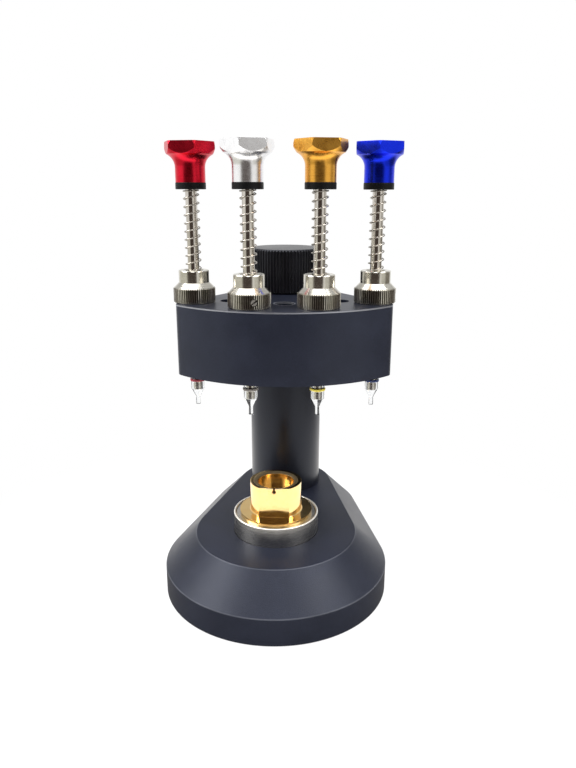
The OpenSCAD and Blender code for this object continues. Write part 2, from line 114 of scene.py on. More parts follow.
class Shader:
    """The nodes of one material, or of the room's light."""

    def __init__(self, tree):
        self.tree = tree
        tree.nodes.clear()

    def node(self, kind, settings=None, inputs=None, output=0):
        """Adds a node with its settings and the values or links of its sockets."""
        made = self.tree.nodes.new(kind)
        for name, value in (settings or {}).items():
            if name == "stops":
                ramp = made.color_ramp.elements
                while len(ramp) < len(value):
                    ramp.new(0.5)
                for stop, (place, colour) in zip(ramp, value):
                    stop.position = place
                    stop.color = (*colour, 1)
            else:
                setattr(made, name, value)
        for name, value in (inputs or {}).items():
            socket = self.pick(made.inputs, name)
            if isinstance(value, Signal):
                self.tree.links.new(value.socket, socket)
            else:
                socket.default_value = value
        return Signal(self, self.pick(made.outputs, output)) if made.outputs else None

    def pick(self, sockets, name):
        """A socket by its number, or by its name among those in use."""
        if isinstance(name, int):
            return sockets[name]
        return next(socket for socket in sockets if socket.name == name and socket.enabled)

    def split(self, vector):
        """The three parts of a vector."""
        parts = self.node("ShaderNodeSeparateXYZ", {}, {0: vector}).socket.node
        return [Signal(self, socket) for socket in parts.outputs]

    def place(self, centre=(0, 0, 0)):
        """The place on the object, in millimetres from centre."""
        spot = self.node("ShaderNodeTexCoord", output="Object")
        shift = {"Location": [-part for part in centre], "Scale": (1 / MM, 1 / MM, 1 / MM)}
        return self.node("ShaderNodeMapping", {}, {"Vector": spot, **shift}, output="Vector")

    def around(self, centre):
        """Distance from an upright axis, and height, in millimetres."""
        across, depth, height = self.split(self.place((*centre, 0)))
        return (across * across + depth * depth) ** 0.5, height

    def joined(self, *parts):
        """A vector from up to three values."""
        return self.node("ShaderNodeCombineXYZ", {}, dict(enumerate(parts)))

    def noise(self, vector, scale, detail=2.0, rough=0.5):
        """Soft random values from 0 to 1, with so many lumps to the millimetre."""
        lumps = {"Vector": vector, "Scale": scale, "Detail": detail, "Roughness": rough}
        return self.node("ShaderNodeTexNoise", {}, lumps)

    def blend(self, factor, low, high):
        """A colour between two others, each of them three values or a signal."""
        ends = {"Factor": factor}
        for name, colour in (("A", low), ("B", high)):
            ends[name] = colour if isinstance(colour, Signal) else (*colour, 1)
        return self.node("ShaderNodeMix", {"data_type": "RGBA"}, ends, output="Result")

    def bump(self, height, depth, strength=1.0):
        """A relief that is so many millimetres deep where height runs from 0 to 1."""
        relief = {"Height": height, "Distance": depth * MM, "Strength": strength}
        return self.node("ShaderNodeBump", {}, relief, output="Normal")

    def surface(self, **sockets):
        """The finished surface, from the values of the named sockets."""
        named = {name.replace("_", " "): value for name, value in sockets.items()}
        skin = self.node("ShaderNodeBsdfPrincipled", {}, named)
        self.node("ShaderNodeOutputMaterial", {}, {"Surface": skin})

    def seen(self, *rays):
        """1 for the kinds of ray that are named, and 0 for the others."""
        path = self.node("ShaderNodeLightPath").socket.node
        kinds = [Signal(self, path.outputs[ray]) for ray in rays]
        total = kinds[0]
        for kind in kinds[1:]:
            total = total.worked("MAXIMUM", kind)
        return total


def fresh_material(name):
    """A new material, and the shader that holds its nodes."""
    material = bpy.data.materials.new(name)
    material.use_nodes = True
    return material, Shader(material.node_tree)


room_light = 0.85
white = (1, 1, 1)
dark = (0.075, 0.058, 0.05)
window = (0.95, 0.94, 0.92)
dull_wall = (0.4, 0.38, 0.35)
shaded_table = (0.66, 0.65, 0.58)
window_table = (0.6, 0.59, 0.54)
dim_table = (0.22, 0.2, 0.17)
# What polished metal mirrors, by the turn from the front to the right: the white room behind and
# on the left, the dark place where one stands, a window beside it and a duller wall.
walls_around = [
    (-180, white),
    (-46, white),
    (-36, dark),
    (33, dark),
    (40, window),
    (74, window),
    (82, dull_wall),
    (100, dull_wall),
    (110, white),
    (180, white),
]
# The far end of the table, which lies partly in shade.
table_around = [
    (-180, white),
    (-120, white),
    (-110, shaded_table),
    (-46, shaded_table),
    (-36, dark),
    (28, dark),
    (34, window),
    (42, window),
    (48, window_table),
    (74, window_table),
    (84, dim_table),
    (126, dim_table),
    (136, white),
    (180, white),
]


def mirrored(shader, across, depth, surroundings):
    """The colour of the surroundings towards a direction."""
    turn = across.worked("ARCTAN2", depth * -1) / math.tau + 0.5
    stops = [(degrees / 360 + 0.5, colour) for degrees, colour in surroundings]
    return shader.node("ShaderNodeValToRGB", {"stops": stops}, {"Fac": turn})


world = bpy.data.worlds.new("room")
bpy.context.scene.world = world
world.use_nodes = True
room = Shader(world.node_tree)
across, depth, height = room.split(room.node("ShaderNodeTexCoord", output="Generated"))
# The walls are a little darker higher up, and the ceiling is white.
walls = mirrored(room, across, depth, walls_around)
walls = room.blend(height.ramped(0.18, 0.36) * 0.42, walls, (0, 0, 0))
room_colour = room.blend(height.ramped(0.86, 0.96), walls, white)
reflected = room.seen("Is Glossy Ray", "Is Transmission Ray")
seen_colour = room.blend(reflected, white, room_colour)
bright = room.seen("Is Camera Ray", "Is Glossy Ray", "Is Transmission Ray")
strength = bright * (1 - room_light) + room_light
background = room.node("ShaderNodeBackground", {}, {"Color": seen_colour, "Strength": strength})
room.node("ShaderNodeOutputWorld", {}, {"Surface": background})

floor_mesh = bpy.data.meshes.new("floor")
bm = bmesh.new()
bmesh.ops.create_circle(bm, cap_ends=True, segments=96, radius=3)
bm.to_mesh(floor_mesh)
bm.free()
floor = bpy.data.objects.new("floor", floor_mesh)
bpy.context.scene.collection.objects.link(floor)
floor_material, table = fresh_material("white_table")
away, _ = table.around((0, 0))
across, depth, _ = table.split(table.place())
glow_share = table.seen("Is Camera Ray") * (away.ramped(60, 150) * 0.25 + 0.75)
# In metal's reflections the table glows: a painted shadow under the press, a painted glow brighter than
# white round it, and table_around far off.
painted_shadow_under_press, painted_glow_round_press = (0.35, 0.34, 0.33), (1.65, 1.62, 1.58)
near_colour = table.blend(away.ramped(60, 68), painted_shadow_under_press, painted_glow_round_press)
far_colour = mirrored(table, across, depth, table_around)
mirrored_colour = table.blend(away.ramped(140, 200), near_colour, far_colour)
in_metal = table.seen("Is Glossy Ray")
own_colour = table.blend(in_metal, white, mirrored_colour)
lit = table.node("ShaderNodeBsdfDiffuse", {}, {"Color": (0.9, 0.9, 0.9, 1)})
glow = table.node("ShaderNodeEmission", {}, {"Color": own_colour, "Strength": 1.0})
glowing = glow_share.worked("MAXIMUM", in_metal)
shown = table.node("ShaderNodeMixShader", {}, {0: glowing, 1: lit, 2: glow})
table.node("ShaderNodeOutputMaterial", {}, {"Surface": shown})
floor_mesh.materials.append(floor_material)


press_middle = Vector((0, 0.02, 0.08))


def soft_light(name, place, size, power):
    """A square lamp that faces the middle of the press."""
    lamp_data = bpy.data.lights.new(name, "AREA")
    lamp_data.size = size
    lamp_data.energy = power
    lamp = bpy.data.objects.new(name, lamp_data)
    bpy.context.scene.collection.objects.link(lamp)
    lamp.location = place
    lamp.rotation_euler = (press_middle - lamp.location).to_track_quat("-Z", "Y").to_euler()


soft_light("overhead_light", (-0.1, 0.0, 0.9), 0.8, 4)
soft_light("front_light", (0.0, -0.6, 0.75), 0.35, 1.5)
soft_light("left_light", (-0.66, -0.17, 0.66), 0.5, 9)
soft_light("right_light", (0.56, -0.2, 0.73), 0.5, 7)


# The base. One block of aluminium, milled with an upright rim and a sloping border, lightly
# blasted and anodised black. It holds the seat ring, the column's foot and, below, the pad.

AXIS_SPACING = 44.0
BASE_Z = 0.3
RIM_H, BORDER_H, BORDER_W = 9.7, 11.2, 11.4
BASE_TOP = BASE_Z + RIM_H + BORDER_H
FRONT_R, REAR_R = 40.25, 30.0
PAD_RECESS, PAD_MARGIN = 1.7, 3.9
RING_R, RING_SINK = 15.25, 2.0
FOOT_R, FOOT_H = 6.0, 5.0
# Clearance of a seated piece, clearance below one, and how far a cut runs past a face.
SEAT_FIT, WELL_FIT, OVER = 0.02, 0.1, 1.0
column_axis = (0.0, AXIS_SPACING)
holder_axis = (0.0, 0.0)


def heading(degrees):
    """Unit vector in the plane, counted from the +X axis."""
    return Vector((math.cos(math.radians(degrees)), math.sin(math.radians(degrees)), 0))


def arc(bm, centre, radius, start, end, steps):
    """Draws an arc round a point and gives its two ends."""
    first = bm.verts.new(Vector((*centre, 0)) + radius * heading(start))
    turned = bmesh.ops.spin(
        bm,
        geom=[first],
        cent=(*centre, 0),
        axis=(0, 0, 1),
        angle=math.radians(end - start),
        steps=steps,
    )
    return first, next(part for part in turned["geom_last"] if isinstance(part, bmesh.types.BMVert))


def thickened(bm, bottom, height):
    """Fills the drawn outline at the height bottom, thickens it, and gives its lower and upper face."""
    bmesh.ops.remove_doubles(bm, verts=bm.verts, dist=0.001)
    bmesh.ops.contextual_create(bm, geom=bm.edges[:])
    bmesh.ops.translate(bm, verts=bm.verts, vec=(0, 0, bottom))
    grown = bmesh.ops.extrude_face_region(bm, geom=bm.faces[:], use_keep_orig=True)["geom"]
    raised = [part for part in grown if isinstance(part, bmesh.types.BMVert)]
    bmesh.ops.translate(bm, verts=raised, vec=(0, 0, height))
    bmesh.ops.recalc_face_normals(bm, faces=bm.faces)
    level = [face for face in bm.faces if abs(face.normal.z) > 0.9]
    level.sort(key=lambda face: face.calc_center_median().z)
    return level[0], level[-1]


def rod_tool(centre, radius, low, high, sides=96):
    """An upright cylinder to cut with."""
    tool = bmesh.new()
    middle = Matrix.Translation((*centre, (low + high) / 2))
    bmesh.ops.create_cone(
        tool,
        cap_ends=True,
        segments=sides,
        radius1=radius,
        radius2=radius,
        depth=high - low,
        matrix=middle,
    )
    return tool


def swung(bm, degrees, axis="Z"):
    """Turns everything in bm about an axis through the origin."""
    turn = Matrix.Rotation(math.radians(degrees), 3, axis)
    bmesh.ops.rotate(bm, verts=bm.verts, cent=(0, 0, 0), matrix=turn)


def box_tool(low, high, turn=0.0):
    """A box between two corners to cut with, turned about the upright axis at the origin."""
    tool = bmesh.new()
    size = Vector(high) - Vector(low)
    middle = (Vector(high) + Vector(low)) / 2
    shape = Matrix.Translation(middle) @ Matrix.Diagonal((*size, 1))
    bmesh.ops.create_cube(tool, size=1, matrix=shape)
    swung(tool, turn)
    return tool


def carved(bm, *tools, operation="DIFFERENCE"):
    """Cuts the tools' shapes out of bm, or with INTERSECT keeps what they share."""
    things = []
    for part in (bm, *tools):
        mesh = bpy.data.meshes.new("carving")
        part.to_mesh(mesh)
        part.free()
        things.append(bpy.data.objects.new("carving", mesh))
        bpy.context.scene.collection.objects.link(things[-1])
    for tool in things[1:]:
        cut = things[0].modifiers.new("cut", "BOOLEAN")
        cut.operation = operation
        cut.solver = "EXACT"
        cut.object = tool
    worked_out = things[0].evaluated_get(bpy.context.evaluated_depsgraph_get())
    result = bpy.data.meshes.new_from_object(worked_out)
    left = bmesh.new()
    left.from_mesh(result)
    bpy.data.meshes.remove(result)
    for thing in things:
        mesh = thing.data
        bpy.data.objects.remove(thing)
        bpy.data.meshes.remove(mesh)
    bmesh.ops.remove_doubles(left, verts=left.verts, dist=0.0005)
    return left


def finished(name, bm, material, body, nodes, edge=0.0, sharp=35, bevels=2):
    """Makes the piece, breaks its edges by so many millimetres, and fixes it to its CAD body."""
    bmesh.ops.recalc_face_normals(bm, faces=bm.faces)
    for side in bm.faces:
        side.smooth = True
    for line in bm.edges:
        line.smooth = edge > 0 or line.calc_face_angle(0) < math.radians(sharp)
    mesh = bpy.data.meshes.new(name)
    bm.to_mesh(mesh)
    bm.free()
    mesh.transform(Matrix.Scale(MM, 4))
    mesh.materials.append(material)
    made = bpy.data.objects.new(name, mesh)
    bpy.context.scene.collection.objects.link(made)
    if edge > 0:
        broken = made.modifiers.new("broken_edges", "BEVEL")
        broken.width = edge * MM
        broken.segments = bevels
        broken.limit_method = "ANGLE"
        broken.angle_limit = math.radians(sharp)
        broken.harden_normals = True
    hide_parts(*nodes)
    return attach(made, body)


def anodised(name, colour, gloss, grain=1.0, edges=(), highlight_strength=0.7, index=1.4):
    """Blasted and anodised aluminium: a fine grain, slightly uneven colour and gloss, and painted
    highlight lines: along each given edge the colour turns light grey and metallic. An edge is (axis,
    inner radius, outer radius, low, high)."""
    material, skin = fresh_material(name)
    spot = skin.place()
    fine = skin.noise(spot, 3.2, detail=3.0, rough=0.6)
    broad = skin.noise(spot, 0.09, detail=3.0)
    lighter = [part * 1.35 for part in colour]
    darker = [part * 0.8 for part in colour]
    shade = skin.blend((fine * 0.6 + broad * 0.4).ramped(0.3, 0.7), darker, lighter)
    wear_and_painted_highlight = None
    soft = 0.08
    # Each edge band is a painted highlight: a light grey, metallic line on the black.
    for axis, inner, outer, low, high in edges:
        radius, height = skin.around(axis)
        here = radius.ramped(inner - soft, inner + soft)
        here = here * (1 - radius.ramped(outer - soft, outer + soft))
        here = here * height.ramped(low - soft, low + soft)
        here = here * (1 - height.ramped(high - soft, high + soft))
        here = here * (broad.ramped(0.3, 0.55) * 0.4 + 0.6) * highlight_strength
        wear_and_painted_highlight = here if wear_and_painted_highlight is None else wear_and_painted_highlight.worked("MAXIMUM", here)
    if edges:
        shade = skin.blend(wear_and_painted_highlight, shade, (0.42, 0.43, 0.47))
    skin.surface(
        Base_Color=shade,
        Metallic=wear_and_painted_highlight if edges else 0.0,
        Roughness=(fine - 0.5) * 0.16 + (broad - 0.5) * 0.12 + gloss,
        IOR=index,
        Specular_Tint=(0.84, 0.88, 1.0, 1),
        Normal=skin.bump(fine, 0.03 * grain),
    )
    return material


RIM_TOP_Z = BASE_Z + RIM_H
black = (0.008, 0.0095, 0.017)
# Faint painted highlight lines run along the top of the rim and the outer edge of the top.
base_anodising = anodised(
    "base_anodising",
    black,
    0.40,
    edges=[
        (holder_axis, 0, 99, RIM_TOP_Z - 0.2, RIM_TOP_Z + 0.2),
        (holder_axis, 17, 99, BASE_TOP - 0.3, BASE_TOP - 0.12),
    ],
    highlight_strength=0.1,
    index=1.33,
    grain=2.0,
)

lean = math.degrees(math.asin((FRONT_R - REAR_R) / AXIS_SPACING))
bm = bmesh.new()
front_left, front_right = arc(bm, holder_axis, FRONT_R, 180 - lean, 360 + lean, 150)
rear_right, rear_left = arc(bm, column_axis, REAR_R, lean, 180 - lean, 90)
bm.edges.new((front_right, rear_right))
bm.edges.new((rear_left, front_left))
lower, upper = thickened(bm, BASE_Z, RIM_H)
bmesh.ops.inset_region(bm, faces=[upper], thickness=BORDER_W, depth=BORDER_H, use_even_offset=True)
bmesh.ops.inset_region(bm, faces=[lower], thickness=PAD_MARGIN, use_even_offset=True)
bmesh.ops.inset_region(bm, faces=[lower], thickness=0.0, depth=-PAD_RECESS)
bm = carved(
    bm,
    rod_tool(holder_axis, RING_R + SEAT_FIT, BASE_TOP - RING_SINK, BASE_TOP + OVER),
    rod_tool(column_axis, FOOT_R + SEAT_FIT, BASE_TOP - FOOT_H - WELL_FIT, BASE_TOP + OVER),
)
finished(
    "base_block", bm, base_anodising, "stand", ["base"], edge=0.22, sharp=25, bevels=3
)


# The non-slip pad and the screws under the base. A black rubber sheet, glued into its recess,
# and plain steel screws; they keep the shapes of the solids.

rubber, sheet = fresh_material("pad_rubber_sheet")
pores = sheet.noise(sheet.place(), 2.5, detail=4.0, rough=0.65)
sheet.surface(
    Base_Color=sheet.blend(pores, (0.012, 0.012, 0.013), (0.03, 0.03, 0.031)),
    Roughness=pores * 0.2 + 0.7,
    Normal=sheet.bump(pores, 0.06),
)


def plain_steel(name, colour, gloss):
    """Steel as it comes from the lathe, with soft smears."""
    material, skin = fresh_material(name)
    smears = skin.noise(skin.place(), 0.8, detail=4.0, rough=0.6)
    skin.surface(
        Base_Color=skin.blend(smears, [part * 0.85 for part in colour], colour),
        Metallic=1.0,
        Roughness=smears * 0.16 + gloss,
        Normal=skin.bump(smears, 0.01),
    )
    return material


def dressed(node, material):
    """Gives a CAD node its finish."""
    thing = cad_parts[node]
    for place in thing.material_slots:
        place.material = material


screw_steel = plain_steel("screw_steel", (0.42, 0.41, 0.4), 0.3)
dressed("base_pad", rubber)
for node in ("seat_screws", "column_bolt", "clamp_stud", "thrust_washer"):
    dressed(node, screw_steel)


# The seat ring. Turned steel, brushed round its axis, let into the base. Its lip, with a painted
# highlight along its top, stands a little above the land on which the movement holder's flange turns.

RING_TOP = BASE_TOP + 7.1
RING_BORE_R, RING_LIP_W, RING_LAND_DROP = 11.0, 0.75, 0.6
LAND_Z = RING_TOP - RING_LAND_DROP


def spun(profile, centre, steps=128):
    """Turns a half section of (radius, height) points about an upright axis."""
    bm = bmesh.new()
    points = []
    for radius, height in profile:
        points.append(bm.verts.new(Vector((*centre, height)) + radius * heading(0)))
    lines = [bm.edges.new(pair) for pair in zip(points, points[1:])]
    if profile[0][0] > 0:
        lines.append(bm.edges.new((points[-1], points[0])))
    bmesh.ops.spin(
        bm,
        geom=points + lines,
        cent=(*centre, 0),
        axis=(0, 0, 1),
        angle=math.tau,
        steps=steps,
        use_merge=True,
    )
    bmesh.ops.remove_doubles(bm, verts=bm.verts, dist=0.0005)
    return bm


def turned(name, colour, centre, gloss, lines=6.0, depth=0.006, tint=None, painted_band=None, smear=0.5):
    """Metal turned on a lathe about an upright axis: fine rings, with soft smears. Between the
    two heights of the painted band, what lies nearer the axis than its radius is rougher and painted in
    the band's colour, a painted shade or highlight."""
    material, skin = fresh_material(name)
    radius, height = skin.around(centre)
    rings = skin.noise(skin.joined(radius, height, 0.0), lines, detail=3.0, rough=0.7)
    smears = skin.noise(skin.place(), 0.35, detail=4.0, rough=0.55)
    other = tint or [part * 0.82 for part in colour]
    shade = skin.blend((smears * smear + rings * (1 - smear)).ramped(0.35, 0.65), other, colour)
    roughness = (rings - 0.5) * 0.18 + (smears - 0.5) * smear * 0.24 + gloss
    if painted_band:
        land, low, high, painted_tone = painted_band
        deep = 1 - radius.ramped(land - 0.2, land)
        deep = deep * height.ramped(low, low + 0.1) * (1 - height.ramped(high - 0.1, high))
        shade = skin.blend(deep, shade, painted_tone)
        roughness = roughness + deep * 0.2
    skin.surface(Base_Color=shade, Metallic=1.0, Roughness=roughness, Normal=skin.bump(rings, depth))
    return material


ring_steel = turned(
    "brushed_ring_steel",
    (0.56, 0.54, 0.5),
    holder_axis,
    0.27,
    lines=9.0,
    depth=0.002,
    tint=(0.5, 0.48, 0.44),
    # The top of the ring is painted almost white and made rougher: a painted highlight.
    painted_band=(RING_R + 1, RING_TOP - 0.25, RING_TOP + 1, (0.97, 0.94, 0.88)),
    smear=0.15,
)
lip = RING_R - RING_LIP_W
bm = spun(
    [
        (RING_BORE_R, BASE_TOP - RING_SINK),
        (RING_R, BASE_TOP - RING_SINK),
        (RING_R, RING_TOP),
        (lip, RING_TOP),
        (lip, LAND_Z),
        (RING_BORE_R, LAND_Z),
    ],
    holder_axis,
)
finished(
    "seat_ring_turned", bm, ring_steel, "stand", ["seat_ring"], edge=0.33, bevels=4
)


# The movement holder. Turned and polished brass with a flat milled at the front, where the
# stem slot opens, and a pocket with a coned mouth for the movement. It drops into the ring.

FLANGE_R, FLANGE_T, SPIGOT_H = 13.0, 1.5, 4.0
CUP_R, CUP_H, CUP_FLAT = 9.2, 10.8, 7.5
MOUTH_R, MOUTH_DEPTH, POCKET_R, POCKET_DEPTH = 8.05, 0.4, 6.5, 3.9
RELIEF_R, SLOT_W, STEM_HOLE_R, STEM_DEPTH = 1.8, 0.7, 0.72, 1.5
FLANGE_TOP = LAND_Z + FLANGE_T
RIM_TOP = FLANGE_TOP + CUP_H
RUN_FIT = 0.03
SPIGOT_R = RING_BORE_R - RUN_FIT
FLANGE_STEP, CUP_FILLET = 0.3, 0.45

brass = turned(
    "polished_brass",
    (0.95, 0.69, 0.31),
    holder_axis,
    0.13,
    lines=5.0,
    depth=0.002,
    tint=(0.91, 0.60, 0.24),
    # The coned mouth is painted a paler brass and made rougher: painted light that brightens its
    # shading.
    painted_band=(MOUTH_R + 0.1, RIM_TOP - MOUTH_DEPTH - 0.1, RIM_TOP + 1, (0.95, 0.72, 0.4)),
    smear=0.3,
)
fillet = [
    (CUP_R + CUP_FILLET * (1 - math.sin(a)), FLANGE_TOP + CUP_FILLET * (1 - math.cos(a)))
    for a in (math.radians(step) for step in range(0, 91, 18))
]
bm = spun(
    [
        (0, LAND_Z - SPIGOT_H),
        (SPIGOT_R, LAND_Z - SPIGOT_H),
        (SPIGOT_R, LAND_Z),
        (FLANGE_R, LAND_Z),
        (FLANGE_R, FLANGE_TOP),
        *fillet,
        (CUP_R, RIM_TOP),
        (MOUTH_R, RIM_TOP),
        (POCKET_R, RIM_TOP - MOUTH_DEPTH),
        (POCKET_R, RIM_TOP - POCKET_DEPTH),
        (0, RIM_TOP - POCKET_DEPTH),
    ],
    holder_axis,
)
flat_half = math.sqrt(CUP_R ** 2 - CUP_FLAT ** 2)
stem_hole = rod_tool(holder_axis, STEM_HOLE_R, 0, CUP_R + OVER, sides=32)
swung(stem_hole, 90, "X")
bmesh.ops.translate(stem_hole, verts=stem_hole.verts, vec=(0, 0, RIM_TOP - STEM_DEPTH))
bm = carved(
    bm,
    box_tool((-FLANGE_R, -FLANGE_R - OVER, FLANGE_TOP), (FLANGE_R, -CUP_FLAT, RIM_TOP + OVER)),
    box_tool(
        (-flat_half, -FLANGE_R - OVER, FLANGE_TOP - FLANGE_STEP),
        (flat_half, -CUP_FLAT, FLANGE_TOP + OVER),
    ),
    rod_tool(holder_axis, RELIEF_R, LAND_Z - SPIGOT_H - OVER, RIM_TOP - OVER, sides=48),
    stem_hole,
    box_tool((-SLOT_W / 2, -CUP_R - OVER, RIM_TOP - STEM_DEPTH), (SLOT_W / 2, 0, RIM_TOP + OVER)),
)
finished(
    "brass_movement_holder", bm, brass, "holder", ["movement_holder"], edge=0.1
)


# The column. A plain turned bar, blasted and anodised like the base, bolted on from below.
# The head turns on the thinner spigot at its top.

COLUMN_R, COLUMN_H = 14.25, 56.0
HEAD_Z = BASE_TOP + COLUMN_H
HEAD_T = 25.0
HEAD_TOP = HEAD_Z + HEAD_T
TOP_SPIGOT_R, AIR = 8.0, 0.3
STUD_R, STUD_DEPTH, STUD_H = 4.0, 15.0, 11.8
BOLT_R, BOLT_GRIP = 4.0, 14.0

bm = spun(
    [
        (BOLT_R + SEAT_FIT, BASE_TOP - FOOT_H),
        (FOOT_R, BASE_TOP - FOOT_H),
        (FOOT_R, BASE_TOP),
        (COLUMN_R, BASE_TOP),
        (COLUMN_R, HEAD_Z),
        (TOP_SPIGOT_R, HEAD_Z),
        (TOP_SPIGOT_R, HEAD_TOP - AIR),
        (STUD_R + SEAT_FIT, HEAD_TOP - AIR),
        (STUD_R + SEAT_FIT, HEAD_TOP - AIR - STUD_DEPTH),
        (0, HEAD_TOP - AIR - STUD_DEPTH),
        (0, BASE_TOP - FOOT_H + BOLT_GRIP),
        (BOLT_R + SEAT_FIT, BASE_TOP - FOOT_H + BOLT_GRIP),
    ],
    column_axis,
)
column_anodising = anodised("column_anodising", (0.004, 0.0048, 0.0085), 0.33, grain=0.5)
finished("column_bar", bm, column_anodising, "stand", ["column"], edge=0.12)


# The head. A thick fan-shaped plate of the same black aluminium, with broken edges, a painted highlight
# line along its front top edge and round its middle socket's rim, four bores for the guide bushes and
# three blind sockets in its top.

HEAD_LIP, HEAD_HALF_ANGLE, CORNER_R = 8.5, 44.0, 4.0
HEAD_TURN = 3.8
HEAD_R = AXIS_SPACING + HEAD_LIP
HEAD_FACING = -90 + HEAD_TURN
SOCKET_R, SOCKET_DEPTH, SOCKET_RADIUS, SOCKET_ANGLE = 3.5, 8.0, 34.0, 35.0
PLUNGER_ANGLE = 30.8
BUSH_R = 3.25
corner_reach = HEAD_R - CORNER_R
flank = 90 - math.degrees(math.asin((COLUMN_R - CORNER_R) / corner_reach)) + HEAD_HALF_ANGLE


def from_column(degrees, distance):
    """A point seen from above, at an angle and a distance from the column's axis."""
    spot = Vector((*column_axis, 0)) + distance * heading(degrees)
    return spot.x, spot.y


plunger_axes = [
    from_column(HEAD_FACING + (place - 1.5) * PLUNGER_ANGLE, AXIS_SPACING) for place in range(4)
]
first_corner, last_corner = HEAD_FACING - HEAD_HALF_ANGLE, HEAD_FACING + HEAD_HALF_ANGLE
bm = bmesh.new()
arc(bm, column_axis, HEAD_R, first_corner, last_corner, 90)
last_middle = from_column(last_corner, corner_reach)
_, right_flank = arc(bm, last_middle, CORNER_R, last_corner, HEAD_FACING + flank, 20)
first_middle = from_column(first_corner, corner_reach)
left_flank, _ = arc(bm, first_middle, CORNER_R, HEAD_FACING - flank, first_corner, 20)
right_back, left_back = arc(
    bm, column_axis, COLUMN_R, HEAD_FACING + flank, HEAD_FACING + 360 - flank, 60
)
bm.edges.new((right_flank, right_back))
bm.edges.new((left_back, left_flank))
thickened(bm, HEAD_Z, HEAD_T)
holes = []
for spot in plunger_axes:
    holes.append(rod_tool(spot, BUSH_R + SEAT_FIT, HEAD_Z - OVER, HEAD_TOP + OVER))
holes.append(rod_tool(column_axis, TOP_SPIGOT_R + RUN_FIT, HEAD_Z - OVER, HEAD_TOP + OVER))
for place in (-1, 0, 1):
    spot = from_column(HEAD_FACING + place * SOCKET_ANGLE, SOCKET_RADIUS)
    holes.append(rod_tool(spot, SOCKET_R, HEAD_TOP - SOCKET_DEPTH, HEAD_TOP + OVER))
bm = carved(bm, *holes)
# Bands for painted highlight lines: the front top edge and the rim of the middle socket.
edge_highlight_band = (column_axis, HEAD_R - 0.5, HEAD_R + 0.2, HEAD_TOP - 0.5, HEAD_TOP - 0.1)
spare_socket = from_column(HEAD_FACING, SOCKET_RADIUS)
socket_highlight_band = (spare_socket, SOCKET_R - 0.2, SOCKET_R + 0.5, HEAD_TOP - 0.6, HEAD_TOP - 0.02)
head_anodising = anodised(
    "head_anodising", black, 0.36, grain=0.7, edges=[edge_highlight_band, socket_highlight_band], highlight_strength=1.0, index=1.38
)
finished(
    "head_plate",
    bm,
    head_anodising,
    "head_unit",
    ["head"],
    edge=0.45,
    sharp=50,
    bevels=3,
)


# The clamp knob on top of the column. Turned from black anodised bar with a fine straight
# knurl, and screwed down on a washer to hold the head where it is turned.

CLAMP_R, CLAMP_H, CLAMP_TEETH, CLAMP_TOOTH, CLAMP_EDGE = 14.0, 16.7, 72, 0.45, 0.7
SKIRT_GAP, WASHER_R, WASHER_T, WASHER_RIM = 0.15, 10.5, 1.0, 0.25


def grown(levels, teeth, centre, turn=0.0, hollow=False):
    """Grows a toothed round body from level to level, each (land radius, groove radius, land
    height, groove height). The two ends are closed, or joined to each other if it is hollow."""
    bm = bmesh.new()
    sides = 4 * teeth

    def shaped(corners, level):
        land_r, groove_r, land_z, groove_z = level
        for corner in corners:
            step = round(math.atan2(corner.co.y, corner.co.x) / math.tau * sides)
            on_land = step % 4 < 2
            corner.co = (land_r if on_land else groove_r) * heading(step * 360 / sides)
            corner.co.z = land_z if on_land else groove_z

    corners = bmesh.ops.create_circle(bm, segments=sides, radius=1)["verts"]
    rims = [bm.edges[:]]
    shaped(corners, levels[0])
    for level in levels[1:]:
        made = bmesh.ops.extrude_edge_only(bm, edges=rims[-1])["geom"]
        corners = [part for part in made if isinstance(part, bmesh.types.BMVert)]
        lines = [part for part in made if isinstance(part, bmesh.types.BMEdge)]
        rims.append([line for line in lines if set(corners).issuperset(line.verts)])
        shaped(corners, level)
    if hollow:
        bmesh.ops.bridge_loops(bm, edges=rims[0] + rims[-1])
    else:
        bmesh.ops.contextual_create(bm, geom=rims[0])
        bmesh.ops.contextual_create(bm, geom=rims[-1])
    bmesh.ops.recalc_face_normals(bm, faces=bm.faces)
    swung(bm, turn)
    bmesh.ops.translate(bm, verts=bm.verts, vec=(*centre, 0))
    return bm


def even(radius, height):
    """A level without teeth."""
    return radius, radius, height, height


clamp_black = anodised("clamp_anodising", (0.006, 0.0056, 0.007), 0.33, grain=0.5)
low, high = HEAD_TOP + SKIRT_GAP, HEAD_TOP + CLAMP_H
groove_r = CLAMP_R - CLAMP_TOOTH
bm = grown(
    [
        even(CLAMP_R - CLAMP_EDGE, low),
        (CLAMP_R, groove_r, low + CLAMP_EDGE, low + CLAMP_EDGE - CLAMP_TOOTH),
        (CLAMP_R, groove_r, high - CLAMP_EDGE, high - CLAMP_EDGE + CLAMP_TOOTH),
        even(CLAMP_R - CLAMP_EDGE, high),
    ],
    CLAMP_TEETH,
    column_axis,
)
bm = carved(
    bm,
    rod_tool(column_axis, WASHER_R + WASHER_RIM, low - OVER, HEAD_TOP + WASHER_T),
    rod_tool(column_axis, STUD_R + RUN_FIT, low - OVER, HEAD_TOP + STUD_H + AIR),
)
finished("clamp_knob_knurled", bm, clamp_black, "clamp", ["clamp_knob"], sharp=20)


# The guide bushes and the stop nuts. Bushes of bearing brass are pressed through the head and
# stand up inside the nuts. The nuts are turned, nickel plated and held by a grub screw each.

